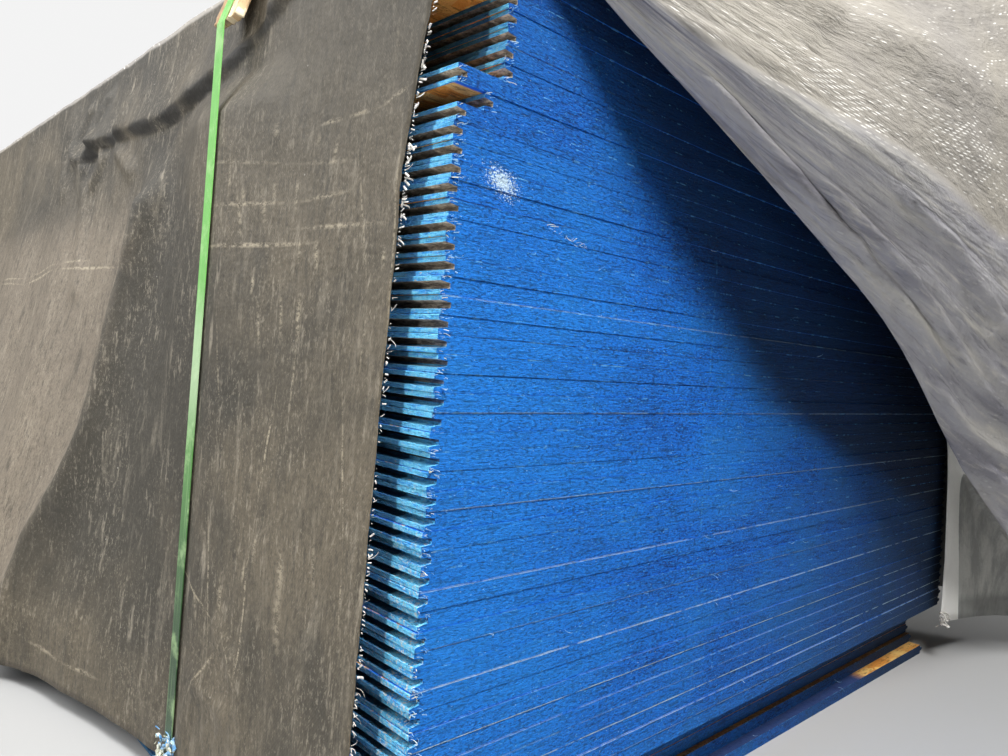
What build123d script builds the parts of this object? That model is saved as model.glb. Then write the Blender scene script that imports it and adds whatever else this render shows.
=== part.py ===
from build123d import *
import math
import os

# Bundle of tongue-and-groove oriented strand board, strapped, under a woven cover
# that has been slit at one corner and pulled open.
# Origin: middle of the main stack's footprint, on the underside of the bottom panel.
# X runs across the panels (groove edges at -X, tongue edges at +X), Y runs along
# them with the opened end at -Y, Z is up. Millimetres.

# Panel
panelLength = 2438.0
panelWidth = 1216.0          # groove lips to tongue tip
panelThickness = 15.1
panelGap = 0.2               # air left between two panels
panelCount = 59
tongueLength = 9.0
tongueRoot = 6.4
tongueTip = 4.2
grooveDepth = 9.5
grooveMouth = 6.8
grooveFloor = 4.2
easedEdge = 0.6              # small bevel on the long corners

# Slipped layers: panels counted from the bottom, (first, last, node, shift x, shift y, yaw)
lowerShiftX = -18.0
lowerShiftY = 48.0
secondShiftY = 40.0
bottomShiftX = -8.0
bottomShiftY = 27.0
bottomYaw = -0.6             # degrees
singleSlip = 30.0            # the one panel set back under the proud one
groupSlip = 48.0             # the five panels set back above it
lowerCount = 6
singleIndex = 46
groupFirstIndex = 48
groupLastIndex = 52
sideJitter = 1.4             # how far the long edges stray
endJitter = 0.5              # how far the short ends stray

# Cover
coverThickness = 1.5
coverClearance = 0.5
coverSideRoom = 2.4          # from the nominal stack to the inside of the cover
slitSetback = 50.0           # cut edge on the groove side, back from the corner
hemLeft = 25.0               # height of the hem above the floor
hemRight = 70.0
flareDepth = 150.0           # how far the loose hem swings out between the straps
flareRoom = 14.0             # the swing starts this far from the middle of a strap
coverStep = 125.0            # longest edge of a facet
lowerRoom = 70.0             # height over which the cover slants out above the slipped panels
edgeRoom = 2.0

# Opened end: (share of the width, forward of the end, share of the height)
# The far top corner is pulled out and up, and the lower near corner is folded away.
liftedEdge = [(0.0, 0, 1.0), (0.21, 79, 1.024), (0.467, 149, 1.074), (0.746, 199, 1.174), (1.075, 209, 1.24)]
openFold = [
    (0.0, 0, 1.0),
    (0.111, 29, 0.897),
    (0.189, 59, 0.828),
    (0.336, 89, 0.725),
    (0.504, 107, 0.616),
    (0.697, 109, 0.456),
    (0.852, 114, 0.343),
    (0.951, 129, 0.26),
    (1.148, 179, 0.122),
]
turnStart = 0.64             # share of the fold where the cloth turns back to the far corner
turnEdge = [(1.002, 15, 0.426), (1.006, 17, 0.255), (1.003, 19, 0.083)]
turnHem = [(1.075, 41, 0.073), (1.14, 69, 0.066), (1.165, 120, 0.075)]
sheetBillow = 30.0           # how far the opened sheet bellies out
sideBillow = 40.0
openRoom = 8.0               # the opened cloth leaves the stack this far in front of the boards

# Straps and the boards under them
strapInset = 389.0           # from each end of the stack
strapWidth = 19.0
strapThickness = 1.0
strapClearance = 0.35
sealLength = 45.0
seatDepth = 1.4              # pressed into the underside of the bottom panel
seatWidth = 21.0
boardThickness = 11.0
boardWidth = 72.0
boardLeanLeft = 17.0         # degrees from upright
boardLeanRight = 26.0
boardBelow = 70.0            # along the board, below the top edge of the stack
boardAbove = 24.0

pitch = panelThickness + panelGap
stackHeight = panelCount * pitch - panelGap
halfWidth = panelWidth / 2
halfLength = panelLength / 2
strapPlace = halfLength - strapInset
coverTop = stackHeight + coverClearance
coverHalf = halfWidth + coverSideRoom
coverFront = -halfLength - coverSideRoom
flareEnd = strapPlace - flareRoom
openedFrom = -strapPlace - boardWidth / 2 - openRoom


def panelSection():
    """Section across one panel, on the XZ plane, underside at z = 0."""
    left = -halfWidth
    shoulder = halfWidth - tongueLength
    middle = panelThickness / 2
    bevel = easedEdge
    right = [
        (shoulder - bevel, 0),
        (shoulder, bevel),
        (shoulder, middle - tongueRoot / 2),
        (halfWidth - 1.2, middle - tongueTip / 2),
        (halfWidth, middle - tongueTip / 2 + 1.2),
        (halfWidth, middle + tongueTip / 2 - 1.2),
        (halfWidth - 1.2, middle + tongueTip / 2),
        (shoulder, middle + tongueRoot / 2),
        (shoulder, panelThickness - bevel),
        (shoulder - bevel, panelThickness),
    ]
    groove = [
        (left + bevel, panelThickness),
        (left, panelThickness - bevel),
        (left, middle + grooveMouth / 2),
        (left + grooveDepth, middle + grooveFloor / 2),
        (left + grooveDepth, middle - grooveFloor / 2),
        (left, middle - grooveMouth / 2),
        (left, bevel),
        (left + bevel, 0),
    ]
    return make_face(Plane.XZ * Polyline(*right, *groove, close=True))


def stray(index):
    """Small, repeatable sideways and lengthways errors of one panel."""
    side = sideJitter * (0.7 * math.sin(2.4 * index) + 0.3 * math.sin(5.3 * index + 1))
    end = endJitter * math.sin(3.7 * index + 0.5)
    return side, end


panelBlank = extrude(panelSection(), amount=halfLength, both=True)


def panel(index, shiftX=0.0, shiftY=0.0, yaw=0.0, strayScale=1.0):
    side, end = stray(index)
    place = Pos(shiftX + side * strayScale, shiftY + end, (index - 1) * pitch)
    return place * Rot(0, 0, yaw) * panelBlank


def strapSeats():
    """Flat channels that the two straps have pressed into the underside."""
    channel = Box(2 * panelWidth, seatWidth, 2 * seatDepth)
    return [Pos(0, side * strapPlace, 0) * channel for side in (-1, 1)]


def gridLevels(top, marks, bottom, step):
    """Levels from top to bottom through the marks, no two further apart than step."""
    levels = [top]
    for mark in marks + [bottom]:
        pieces = max(1, math.ceil((levels[-1] - mark) / step))
        start = levels[-1]
        levels += [start + (mark - start) * k / pieces for k in range(1, pieces + 1)]
    return levels


lowerTop = lowerCount * pitch
groupTop = groupLastIndex * pitch
groupBottom = (groupFirstIndex - 1) * pitch
levelMarks = [groupTop + edgeRoom, groupBottom, lowerTop + lowerRoom]


def leftWall(y, z):
    """Inside of the cover on the groove side: leans out to the lower panels and flares."""
    fall = min(1.0, (coverTop - z) / (coverTop - lowerTop))
    lean = (edgeRoom - lowerShiftX) * fall
    along = (y + flareEnd) / (2 * flareEnd)
    flare = 0.0
    if 0 < along < 1:
        lobe = math.sin(math.pi * along) ** 1.5 * (1 - 0.45 * along)
        flare = flareDepth * lobe * fall ** 1.6
    return -coverHalf - lean - flare


def rightWall(z):
    """Inside of the cover on the tongue side: over the slipped layers, then down."""
    bulge = coverHalf + groupSlip
    shoulder = groupTop + edgeRoom
    if z >= shoulder:
        return coverHalf + groupSlip * (coverTop - z) / (coverTop - shoulder)
    if z >= groupBottom:
        return bulge
    return coverHalf + edgeRoom + (groupSlip - edgeRoom) * (z - hemRight) / (groupBottom - hemRight)


def backWall(z):
    fall = min(1.0, (coverTop - z) / (coverTop - lowerTop))
    return halfLength + coverSideRoom + (lowerShiftY + edgeRoom) * fall


def endPoint(share, forward, level):
    """A point of the opened end, from shares of the cover's width and height."""
    return Vector(coverHalf * (2 * share - 1), coverFront - forward, coverTop * level)


def patch(near, far, start, end):
    """Blended surface between four edges: near and far run with u, start and end with v."""

    def point(u, v):
        edges = near(u) * (1 - v) + far(u) * v + start(v) * (1 - u) + end(v) * u
        return edges - near(0) * ((1 - u) * (1 - v)) - near(1) * (u * (1 - v)) \
            - far(0) * ((1 - u) * v) - far(1) * (u * v)

    return point


def along(curve):
    return lambda share: curve @ share


def fixed(point):
    return lambda share: point


def hemLevel(z, share):
    """Height of a grid level: below the lowest mark it fans out to the sloping hem."""
    mark = levelMarks[-1]
    hem = hemLeft + (hemRight - hemLeft) * share
    if z >= mark:
        return z
    return mark - (mark - z) * (mark - hem) / (mark - hemLeft)


def coverGrids():
    """The sheets of the cover as grids of points on its inside, seen from outside."""
    across = gridLevels(1.0, [turnStart], 0.0, coverStep / panelWidth)[::-1]
    slit = coverFront + slitSetback
    back = backWall(coverTop)
    ways = gridLevels(back, [flareEnd, -flareEnd], openedFrom, coverStep)[::-1]
    heights = gridLevels(coverTop, levelMarks, hemLeft, coverStep)
    falls = [(coverTop - hemLevel(z, 1)) / (coverTop - hemRight) for z in heights]
    seam = openedFrom
    frontSpan = coverFront - seam
    steps = [(y - seam) / frontSpan for y in gridLevels(seam, [slit], coverFront, coverStep)]

    # from the front strap back: top, both sides and the far end
    top = [[Vector(coverHalf * (2 * share - 1), y, coverTop) for share in across] for y in ways]
    left = []
    right = []
    rear = []
    for z in heights:
        far = hemLevel(z, 1)
        behind = backWall(z)
        nearX = leftWall(behind, z)
        farX = rightWall(far)
        rear.append([Vector(nearX + (farX - nearX) * share, behind, hemLevel(z, share)) for share in across])
        left.append([Vector(leftWall(y, z), y, z) for y in ways[:-1]] + [rear[-1][0]])
        right.append([Vector(farX, y, far) for y in ways[:-1]] + [rear[-1][-1]])

    # in front of the strap: the cloth that has been slit and pulled open
    nearTop = endPoint(0, 0, 1)
    lifted = Spline(*[endPoint(*place) for place in liftedEdge])
    fold = Spline(*[endPoint(*place) for place in openFold])
    farTop = lifted @ 1
    farLow = fold @ 1
    seamTop = Vector(coverHalf, seam, coverTop)
    seamLow = Vector(rightWall(hemRight), seam, hemRight)
    rise = Bezier(seamTop, seamTop + Vector(sideBillow, frontSpan / 2, 0), farTop + Vector(sideBillow, -frontSpan / 3, 0), farTop)
    hem = Bezier(seamLow, seamLow + Vector(sideBillow, frontSpan / 2, 0), farLow + Vector(sideBillow, -frontSpan / 3, 0), farLow)
    crease = Bezier(farTop, farTop * 0.5 + farLow * 0.5 + Vector(sideBillow, -sideBillow, 0), farLow)

    def seamTopPoint(share):
        return Vector(coverHalf * (2 * share - 1), seam, coverTop)

    def seamPoint(fall):
        z = coverTop - (coverTop - hemRight) * fall
        return Vector(rightWall(z), seam, z)

    def nearEdge(step):
        return Vector(-coverHalf, seam + frontSpan * step, coverTop)

    frontTop = patch(seamTopPoint, along(lifted), nearEdge, along(rise))
    frontSide = patch(seamPoint, along(crease), along(rise), along(hem))
    opened = patch(along(lifted), along(fold), fixed(nearTop), along(crease))
    topFront = [[frontTop(share, step) for share in across] for step in steps]
    sideFront = [[frontSide(fall, step) for step in steps] for fall in falls]
    leftFront = [[Vector(leftWall(seam + frontSpan * step, z), seam + frontSpan * step, z) for step in steps[:-1]]
                 for z in heights]
    sheet = []
    for fall in falls:
        row = []
        for share in across:
            belly = sheetBillow * math.sin(math.pi * share) * math.sin(math.pi * fall)
            row.append(opened(share, fall) - Vector(0, belly, 0))
        sheet.append(row)

    # where the opened sheet turns back to the far corner of the stack
    beside = Spline(fold @ turnStart, *[endPoint(*place) for place in turnEdge])
    low = Spline(beside @ 1, *[endPoint(*place) for place in turnHem], farLow)

    def foldEnd(share):
        return fold @ (turnStart + (1 - turnStart) * share)

    turned = patch(foldEnd, along(low), along(beside), fixed(farLow))
    turnShares = [(share - turnStart) / (1 - turnStart) for share in across if share > turnStart - 0.001]
    downs = gridLevels(0.0, [], -1.0, 0.2)
    turn = [[turned(share, -down) for share in turnShares] for down in downs]
    return [
        (top, False), (left, False), (right, True), (rear, False),
        (topFront, True), (leftFront, True), (sideFront, False), (sheet, True), (turn, True),
    ]


def triangle(a, b, c):
    return Face(Wire.make_polygon([a, b, c], close=True))


def cover():
    """The cover as one thin closed solid: inside, outside and the cut edges."""
    points = []
    numbers = {}
    facets = []

    def number(point):
        key = tuple(round(value, 2) for value in point)
        if key not in numbers:
            numbers[key] = len(points)
            points.append(Vector(*point))
        return numbers[key]

    for rows, flip in coverGrids():
        rows = [[number(point) for point in row] for row in rows]
        for upper, lower in zip(rows, rows[1:]):
            for a, b, c, d in zip(upper, upper[1:], lower[1:], lower):
                for facet in ((a, b, c), (a, c, d)):
                    if len(set(facet)) == 3:
                        facets.append(facet[::-1] if flip else facet)
    touching = [[] for _ in points]
    for a, b, c in facets:
        normal = (points[b] - points[a]).cross(points[c] - points[a]).normalized()
        for corner in (a, b, c):
            touching[corner].append(normal)
    outside = []
    for point, around in zip(points, touching):
        mean = sum(around, Vector(0, 0, 0)).normalized()
        least = max(0.5, min(mean.dot(normal) for normal in around))
        outside.append(point + mean * (coverThickness / least))
    sides = {pair for facet in facets for pair in zip(facet, facet[1:] + facet[:1])}
    faces = []
    for a, b, c in facets:
        faces.append(triangle(outside[a], outside[b], outside[c]))
        faces.append(triangle(points[a], points[c], points[b]))
    for a, b in sides:
        if (b, a) not in sides:
            faces.append(triangle(points[a], points[b], outside[b]))
            faces.append(triangle(points[a], outside[b], outside[a]))
    return Solid(Shell(faces))


def board(side, place, lean, turn):
    """A rough offcut leaning over a top edge of the stack; side and turn are -1 or 1."""
    half = boardWidth / 2
    outline = [
        (-half, -boardBelow + 3),
        (-half * 0.4, -boardBelow),
        (half * 0.9, -boardBelow + 5),
        (half, -boardBelow * 0.4),
        (half * 0.86, boardAbove - 2),
        (-half * 0.1, boardAbove),
        (-half * 0.94, boardAbove - 3),
    ]
    face = make_face(Plane.YZ * Polyline(*[(turn * y, z) for y, z in outline], close=True))
    plate = extrude(face, amount=boardThickness, dir=(side, 0, 0))
    rest = coverThickness + strapClearance
    pivot = Pos(side * (coverHalf + rest), place, coverTop + rest)
    return pivot * Rot(0, -side * lean, 0) * plate


def convexHull(points):
    """Counter-clockwise convex outline of points in the XZ plane."""
    ordered = sorted(set((round(x, 3), round(z, 3)) for x, z in points))
    outline = []
    for row in (ordered, ordered[::-1]):
        chain = []
        for x, z in row:
            while len(chain) > 1:
                (ax, az), (bx, bz) = chain[-2:]
                if (bx - ax) * (z - az) - (bz - az) * (x - ax) > 1e-6:
                    break
                chain.pop()
            chain.append((x, z))
        outline += chain[:-1]
    return outline


def strap(place, solids, boards):
    """A taut strap: the convex outline of everything that it goes round at its place."""
    points = []
    for solid in solids:
        slice = solid & (Pos(0, place, 0) * Box(3 * panelWidth, strapWidth, 4 * stackHeight))
        size = slice.bounding_box()
        low = max(size.min.Z, seatDepth)
        for x in (size.min.X - strapClearance, size.max.X + strapClearance):
            points += [(x, low - strapClearance), (x, size.max.Z + strapClearance)]
    room = coverThickness / math.cos(math.atan(0.5)) + strapClearance
    for z in gridLevels(coverTop, levelMarks, hemLeft, coverStep):
        far = hemLevel(z, 1)
        points += [(leftWall(place, z) - room, z), (rightWall(far) + room, far)]
    for side in (-1, 1):
        points.append((side * coverHalf, coverTop + room))
    for plate in boards:
        for corner in plate.vertices():
            middle = math.copysign(strapClearance, corner.X)
            points.append((corner.X + middle, corner.Z + strapClearance))
            points.append((corner.X + middle, corner.Z - strapClearance))
    outline = convexHull(points)
    inner = make_face(Plane.XZ * Polyline(*outline, close=True))
    outer = offset(inner, amount=strapThickness, kind=Kind.INTERSECTION)
    ends = sorted(outline, key=lambda point: -point[1])[:2]
    (leftX, leftZ), (rightX, rightZ) = sorted(ends)
    slope = (rightZ - leftZ) / (rightX - leftX)
    weld = Polyline(*[
        (x, leftZ + slope * (x - leftX) + height * strapThickness)
        for x, height in ((-sealLength / 2, 0.5), (sealLength / 2, 0.5), (sealLength / 2, 2), (-sealLength / 2, 2))
    ], close=True)
    loop = extrude(outer - inner, amount=strapWidth / 2, both=True)
    return Pos(0, place, 0) * (loop + extrude(make_face(Plane.XZ * weld), amount=strapWidth / 2, both=True))


def panels(first, last, shiftX=0.0, shiftY=0.0):
    return [panel(index, shiftX, shiftY) for index in range(first, last + 1)]


bottom = panel(1, bottomShiftX, bottomShiftY, bottomYaw)
for seat in strapSeats():
    bottom -= seat
nodes = {
    "panel_bottom": [bottom],
    "panel_second": panels(2, 2, lowerShiftX, secondShiftY),
    "panels_lower": panels(3, lowerCount, lowerShiftX, lowerShiftY),
    "panels_main": panels(lowerCount + 1, singleIndex - 1),
    "panel_recessed_low": panels(singleIndex, singleIndex, singleSlip),
    "panel_proud": panels(singleIndex + 1, singleIndex + 1),
    "panels_recessed_high": panels(groupFirstIndex, groupLastIndex, groupSlip),
    "panels_top": panels(groupLastIndex + 1, panelCount),
    "cover": [cover()],
}
stack = [solid for name, group in nodes.items() if name != "cover" for solid in group]
for end, place in (("front", -strapPlace), ("rear", strapPlace)):
    turn = 1 if end == "front" else -1
    left = board(-1, place, boardLeanLeft, turn)
    right = board(1, place, boardLeanRight, -turn)
    nodes["board_" + end + "_left"] = [left]
    nodes["board_" + end + "_right"] = [right]
    nodes["strap_" + end] = [strap(place, stack, [left, right])]

os.makedirs("parts", exist_ok=True)
for name, group in nodes.items():
    shape = group[0] if len(group) == 1 else Compound(children=[Part(solid.wrapped) for solid in group])
    export_step(shape, "parts/" + name + ".step")
    print(name, len(group), round(sum(solid.volume for solid in group)))
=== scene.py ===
import math
import random
import time
import bpy
import bmesh
import numpy as np
from mathutils import Matrix, Vector, noise


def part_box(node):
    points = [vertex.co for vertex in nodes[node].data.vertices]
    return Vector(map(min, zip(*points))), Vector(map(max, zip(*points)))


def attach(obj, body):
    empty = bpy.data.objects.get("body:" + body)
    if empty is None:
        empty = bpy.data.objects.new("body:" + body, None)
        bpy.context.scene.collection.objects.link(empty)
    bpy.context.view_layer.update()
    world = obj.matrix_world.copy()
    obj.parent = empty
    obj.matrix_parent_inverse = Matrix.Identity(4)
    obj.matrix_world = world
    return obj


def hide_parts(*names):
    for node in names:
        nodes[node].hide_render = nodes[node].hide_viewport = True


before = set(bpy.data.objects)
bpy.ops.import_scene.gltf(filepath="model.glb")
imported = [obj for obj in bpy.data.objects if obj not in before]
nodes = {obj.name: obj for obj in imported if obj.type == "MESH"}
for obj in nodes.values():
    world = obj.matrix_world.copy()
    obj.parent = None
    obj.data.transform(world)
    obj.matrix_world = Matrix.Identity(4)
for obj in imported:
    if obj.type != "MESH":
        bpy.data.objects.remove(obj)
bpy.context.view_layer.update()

# Strapped bundle of strand board under a slit woven cover: the camera, what makes node trees,
# the cover, the panels, the straps, the offcuts, the threads and frays, the stage and the lights.
started = time.time()


def report(stage):
    print(f"{stage}: {time.time() - started:.1f} s")


def placed(name, data):
    made = bpy.data.objects.new(name, data)
    bpy.context.scene.collection.objects.link(made)
    return made


# Camera, at the photograph's viewpoint
cameraView = {
    "place": (-0.9758, -1.6929, 0.4893),
    "right": (0.709255, -0.701443, 0.070253),
    "up": (-0.077635, 0.021330, 0.996754),
    "back": (-0.700664, -0.712407, -0.039328),
    "lens": 27.475,
    "shift": (-0.0252, -0.0478),
}
cameraData = bpy.data.cameras.new("camera")
camera = placed("camera", cameraData)
columns = [(*cameraView[key], 0) for key in ("right", "up", "back")] + [(*cameraView["place"], 1)]
camera.matrix_world = Matrix(columns).transposed()
cameraData.sensor_width = 36
cameraData.lens = cameraView["lens"]
cameraData.shift_x, cameraData.shift_y = cameraView["shift"]
cameraData.clip_end = 60
bpy.context.scene.camera = camera
bpy.context.scene.view_settings.view_transform = "Standard"


# One socket of a node tree, for sums on values
class Signal:
    def __init__(self, web, socket):
        self.web = web
        self.socket = socket

    def join(self, operation, other, swapped=False):
        pair = [other, self] if swapped else [self, other]
        return self.web.node("ShaderNodeMath", {"operation": operation}, {0: pair[0], 1: pair[1]})

    def __add__(self, other):
        return self.join("ADD", other)

    def __radd__(self, other):
        return self.join("ADD", other)

    def __sub__(self, other):
        return self.join("SUBTRACT", other)

    def __rsub__(self, other):
        return self.join("SUBTRACT", other, True)

    def __mul__(self, other):
        return self.join("MULTIPLY", other)

    def __truediv__(self, other):
        return self.join("DIVIDE", other)

    def __gt__(self, other):
        return self.join("GREATER_THAN", other)

    def __lt__(self, other):
        return self.join("LESS_THAN", other)


# A node tree, for a finish or for geometry
class Web:
    def __init__(self, tree):
        self.tree = tree

    def node(self, kind, settings=None, values=None, out=0):
        made = self.tree.nodes.new(kind)
        for key, value in (settings or {}).items():
            if key == "stops":
                ramp = made.color_ramp
                while len(ramp.elements) < len(value):
                    ramp.elements.new(0.5)
                for element, (place, tone) in zip(ramp.elements, value):
                    element.position = place
                    element.color = (tone, tone, tone, 1)
            else:
                setattr(made.color_ramp if key == "interpolation" else made, key, value)
        for key, value in (values or {}).items():
            if isinstance(key, int):
                socket = made.inputs[key]
            else:
                socket = next(s for s in made.inputs if s.enabled and key in (s.name, s.identifier))
            if isinstance(value, Signal):
                self.tree.links.new(value.socket, socket)
            elif socket.type == "RGBA" and len(value) == 3:
                socket.default_value = (*value, 1)
            else:
                socket.default_value = value
        if isinstance(out, int):
            return Signal(self, made.outputs[out]) if made.outputs else made
        return Signal(self, next(s for s in made.outputs if s.enabled and s.name == out))


# A finish: the shader tree of one material
class Finish(Web):
    def __init__(self, name):
        self.material = bpy.data.materials.new(name)
        self.material.use_nodes = True
        super().__init__(self.material.node_tree)
        self.tree.nodes.clear()
        self.place = self.node("ShaderNodeTexCoord", out="Object")
        self.x, self.y, self.z = self.split(self.place)

    def split(self, vector):
        parts = self.node("ShaderNodeSeparateXYZ", values={0: vector})
        return [Signal(self, socket) for socket in parts.socket.node.outputs]

    def pack(self, x, y, z):
        return self.node("ShaderNodeCombineXYZ", values={0: x, 1: y, 2: z})

    # object coordinates packed tight across and drawn out along z
    def drawn(self, across, tall):
        return self.pack(self.x * across, self.y * across, self.z * tall)

    def cloud(self, vector, scale=1, detail=3, rough=0.55, warp=0):
        values = {"Vector": vector, "Scale": scale, "Detail": detail, "Roughness": rough, "Distortion": warp}
        return self.node("ShaderNodeTexNoise", values=values)

    def cells(self, vector, scale=1, out="Distance"):
        return self.node("ShaderNodeTexVoronoi", values={"Vector": vector, "Scale": scale}, out=out)

    # grey values read along a line of (place, value) stops
    def chart(self, value, stops, interpolation="LINEAR"):
        return self.node("ShaderNodeValToRGB", {"stops": stops, "interpolation": interpolation}, {"Fac": value})

    def stretch(self, vector, scale, turn=0):
        values = {"Vector": vector, "Scale": scale, "Rotation": (0, 0, turn)}
        return self.node("ShaderNodeMapping", values=values)

    # 0 up to low and 1 from high on, smooth between them; low may lie above high
    def span(self, value, low, high):
        values = {"Value": value, 1: low, 2: high}
        return self.node("ShaderNodeMapRange", {"interpolation_type": "SMOOTHSTEP"}, values)

    def blend(self, share, first, second):
        settings = {"data_type": "RGBA", "clamp_factor": True}
        return self.node("ShaderNodeMix", settings, {"Factor": share, "A": first, "B": second}, "Result")

    # coats of (share, tone), one over the other
    def coats(self, colour, *rows):
        for share, tone in rows:
            colour = self.blend(share, colour, tone)
        return colour

    def call(self, operation, value, other=0):
        return self.node("ShaderNodeMath", {"operation": operation}, {0: value, 1: other})

    def near(self, value, centre, width):
        return self.span(self.call("ABSOLUTE", value - centre), width, width * 0.3)

    # a soft stroke on a wall that faces along normal, thinning out to its ends
    def stroke(self, start, end, width, normal):
        a, b = Vector(start), Vector(end)
        along = (b - a).normalized()
        side = along.cross(Vector(normal)).normalized()
        turn = Matrix((side, along, side.cross(along))).transposed().to_euler()
        scale = (width, (b - a).length / 2 + width, 0.1)
        values = {"Vector": self.place, "Location": (a + b) / 2, "Rotation": turn, "Scale": scale}
        local = self.node("ShaderNodeMapping", {"vector_type": "TEXTURE"}, values)
        return self.node("ShaderNodeTexGradient", {"gradient_type": "SPHERICAL"}, {"Vector": local}, "Fac")

    def shader(self, colour, rough, height, depth, strength, **fixed):
        bump = self.node("ShaderNodeBump", values={"Height": height, "Distance": depth, "Strength": strength})
        values = {"Base Color": colour, "Roughness": rough, "Normal": bump}
        values.update({key.replace("_", " ").title().replace("Ior", "IOR"): value for key, value in fixed.items()})
        return self.node("ShaderNodeBsdfPrincipled", values=values)

    # a share of exactly 0 or 1 spares the work of the other shader
    def layered(self, share, first, second):
        return self.node("ShaderNodeMixShader", values={0: share, 1: first, 2: second})

    def close(self, shader):
        self.node("ShaderNodeOutputMaterial", values={"Surface": shader})
        return self.material

    def finish(self, *parts, **fixed):
        return self.close(self.shader(*parts, **fixed))


# A geometry tree with named sizes
class Growth(Web):
    def __init__(self, name, sizes):
        tree = bpy.data.node_groups.new(name, "GeometryNodeTree")
        super().__init__(tree)
        tree.interface.new_socket("Geometry", in_out="INPUT", socket_type="NodeSocketGeometry")
        tree.interface.new_socket("Geometry", in_out="OUTPUT", socket_type="NodeSocketGeometry")
        self.keys = {}
        for label, value in sizes.items():
            kinds = {int: "NodeSocketInt", float: "NodeSocketFloat", tuple: "NodeSocketVector"}
            kind = kinds.get(type(value), "NodeSocketMaterial")
            socket = tree.interface.new_socket(label, in_out="INPUT", socket_type=kind)
            self.keys[label] = (socket.identifier, value)
        given = tree.nodes.new("NodeGroupInput")
        self.given = {socket.name: Signal(self, socket) for socket in given.outputs}

    def spread(self, low, high, seed, kind="FLOAT_VECTOR"):
        values = {"Min": low, "Max": high, "Seed": seed}
        if kind == "BOOLEAN":
            values = {"Probability": low, "Seed": seed}
        return self.node("FunctionNodeRandomValue", {"data_type": kind}, values, "Value")

    def close(self, shape, material):
        whole = self.node("GeometryNodeRealizeInstances", values={0: shape})
        done = self.node("GeometryNodeSetMaterial", values={"Geometry": whole, "Material": material})
        self.node("NodeGroupOutput", values={0: done})

    # runs the tree on a helper mesh and keeps the result as one plain piece
    def grow(self, name, points, sizes):
        mesh = bpy.data.meshes.new(name)
        mesh.from_pydata(points, [], [])
        made = placed(name, mesh)
        modifier = made.modifiers.new("growth", "NODES")
        modifier.node_group = self.tree
        for label, (identifier, value) in self.keys.items():
            modifier[identifier] = sizes.get(label, value)
        applied(made)
        made.data.shade_smooth()
        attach(made, "root")
        return made


def applied(made):
    mesh = bpy.data.meshes.new_from_object(made.evaluated_get(bpy.context.evaluated_depsgraph_get()))
    made.modifiers.clear()
    old = made.data
    made.data = mesh
    bpy.data.meshes.remove(old)
    mesh.name = made.name


# shader colours from tones as the eye reads them, 0 to 255
def tones(**table):
    def linear(c):
        return c / 255 / 12.92 if c <= 10.3 else ((c / 255 + 0.055) / 1.055) ** 2.4

    return {name: tuple(linear(c) for c in tone) for name, tone in table.items()}


# Cover, in metres and in the frame of the solids. Points of the opened end are (share of the
# width, millimetres forward, share of the height).
cover = {
    "half": 0.6104,
    "top": 0.903,
    "front": -1.2214,
    "back": 1.2214,
    "strap": 0.830,              # both straps lie this far from the middle
    "seam": -0.874,              # the opened end starts here, in front of the strap
    "slit": -1.1714,
    "flareEnd": 0.816,
    "flare": 0.15,               # the left hem swings out between the straps
    "hemLeft": 0.025,
    "hemRight": 0.07,
    "marks": (0.7976, 0.7191, 0.1618),  # heights where the walls bend
    "lowerTop": 0.0918,          # the walls have swung out fully at this height
    "lean": 0.020,
    "leanBack": 0.050,
    "bulge": 0.048,              # of the right wall
    "lifted": [(0, 0, 1), (0.21, 79, 1.024), (0.467, 149, 1.074), (0.746, 199, 1.174), (1.075, 209, 1.24)],
    "fold": [
        (0, 0, 1), (0.111, 29, 0.897), (0.189, 59, 0.828), (0.336, 89, 0.725), (0.504, 107, 0.616),
        (0.697, 109, 0.456), (0.852, 114, 0.343), (0.951, 129, 0.26), (1.148, 179, 0.122),
    ],
    "turnStart": 0.64,
    "turnEdge": [(0.956, 13, 0.426), (0.960, 14, 0.255), (0.948, 16, 0.083)],
    "turnHem": [(1.075, 41, 0.073), (1.14, 69, 0.066), (1.165, 120, 0.075)],
    "billow": 0.030,
    "side": 0.040,
    "thickness": 0.0005,
    "triangles": 96000,          # before the shell doubles them
}


# reads a line of points by the share of its length
def evenly(line):
    steps = np.r_[0, np.cumsum(np.linalg.norm(np.diff(line, axis=0), axis=1))]
    return lambda share: np.stack([np.interp(share, steps / steps[-1], line[:, k]) for k in range(3)], -1)


# smooth curve through points: a natural cubic spline
def curveThrough(points):
    p = np.array(points, float)
    t = np.r_[0, np.cumsum(np.linalg.norm(np.diff(p, axis=0), axis=1))]
    gaps = np.diff(t)
    matrix = np.eye(len(p))
    sums = np.zeros_like(p)
    for i in range(1, len(p) - 1):
        matrix[i, i - 1:i + 2] = gaps[i - 1], 2 * (gaps[i - 1] + gaps[i]), gaps[i]
        sums[i] = 6 * ((p[i + 1] - p[i]) / gaps[i] - (p[i] - p[i - 1]) / gaps[i - 1])
    bends = np.linalg.solve(matrix, sums)
    s = np.linspace(0, t[-1], 800)
    k = np.clip(np.searchsorted(t, s, side="right") - 1, 0, len(p) - 2)
    gap = gaps[k][:, None]
    a = (t[k + 1] - s)[:, None]
    c = (s - t[k])[:, None]
    curve = (bends[k] * a ** 3 + bends[k + 1] * c ** 3) / (6 * gap)
    curve += (p[k] / gap - bends[k] * gap / 6) * a
    curve += (p[k + 1] / gap - bends[k + 1] * gap / 6) * c
    return evenly(curve)


def bezier(*points):
    t = np.linspace(0, 1, 400)[:, None]
    last = len(points) - 1
    terms = [math.comb(last, i) * t ** i * (1 - t) ** (last - i) * np.array(p) for i, p in enumerate(points)]
    return evenly(sum(terms))


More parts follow.
